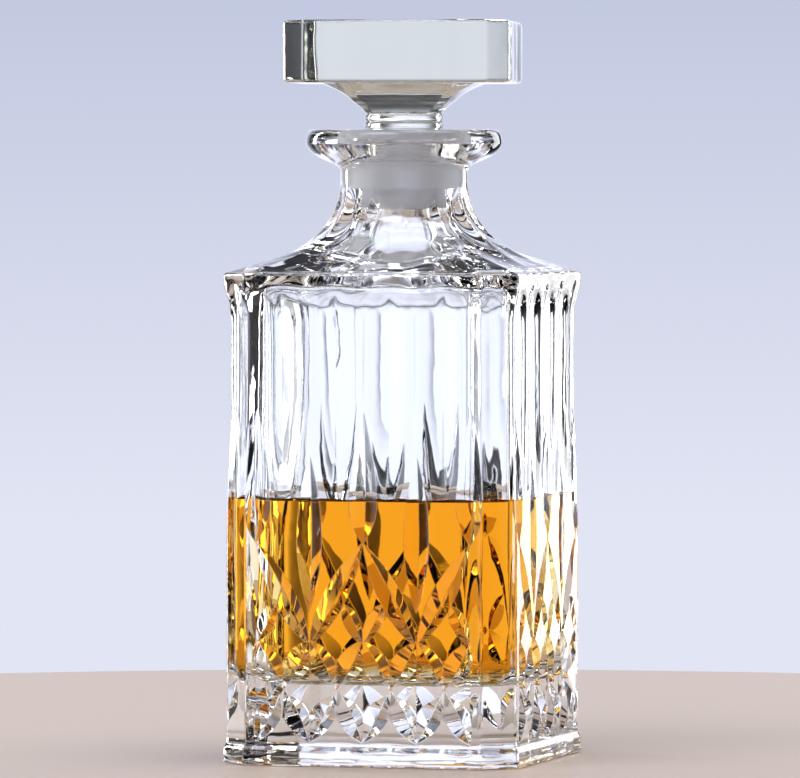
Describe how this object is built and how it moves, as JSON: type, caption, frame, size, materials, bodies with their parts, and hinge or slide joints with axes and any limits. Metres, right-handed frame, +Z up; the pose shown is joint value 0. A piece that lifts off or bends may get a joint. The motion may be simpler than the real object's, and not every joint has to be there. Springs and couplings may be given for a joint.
{
  "type": "square glass decanter",
  "caption": "Square pressed-glass decanter with chamfered corners, fluted shoulder, flared lip and a square glass stopper seated in a plastic seal sleeve.",
  "frame": {"origin": "centre of the bottle's footprint on the surface it stands on", "axes": "+Z up through the neck, -Y out of the front face, +X out of the right-hand face"},
  "size_m": [0.095, 0.095, 0.2299],
  "materials": {
    "decanter_glass": "clear pressed glass, fire polished, with cut leaves, diamonds and flutes",
    "stopper_glass": "clear pressed glass with a faint green in its thickness, polished",
    "seal_plastic": "translucent white polyethylene, moulded, satin"
  },
  "bodies": {
    "decanter": {"decanter_body": "decanter_glass"},
    "seal": {"seal_sleeve": "seal_plastic"},
    "stopper": {"stopper": "stopper_glass"}
  },
  "joints": [
    {"name": "stopper_lift", "type": "slide", "parent": "decanter", "child": "seal", "axis": [0, 0, 1], "range_m": [0, 0.05]},
    {"name": "stopper_twist", "type": "hinge", "parent": "seal", "child": "stopper", "pos_m": [0, 0, 0.196], "axis": [0, 0, 1], "continuous": true}
  ]
}
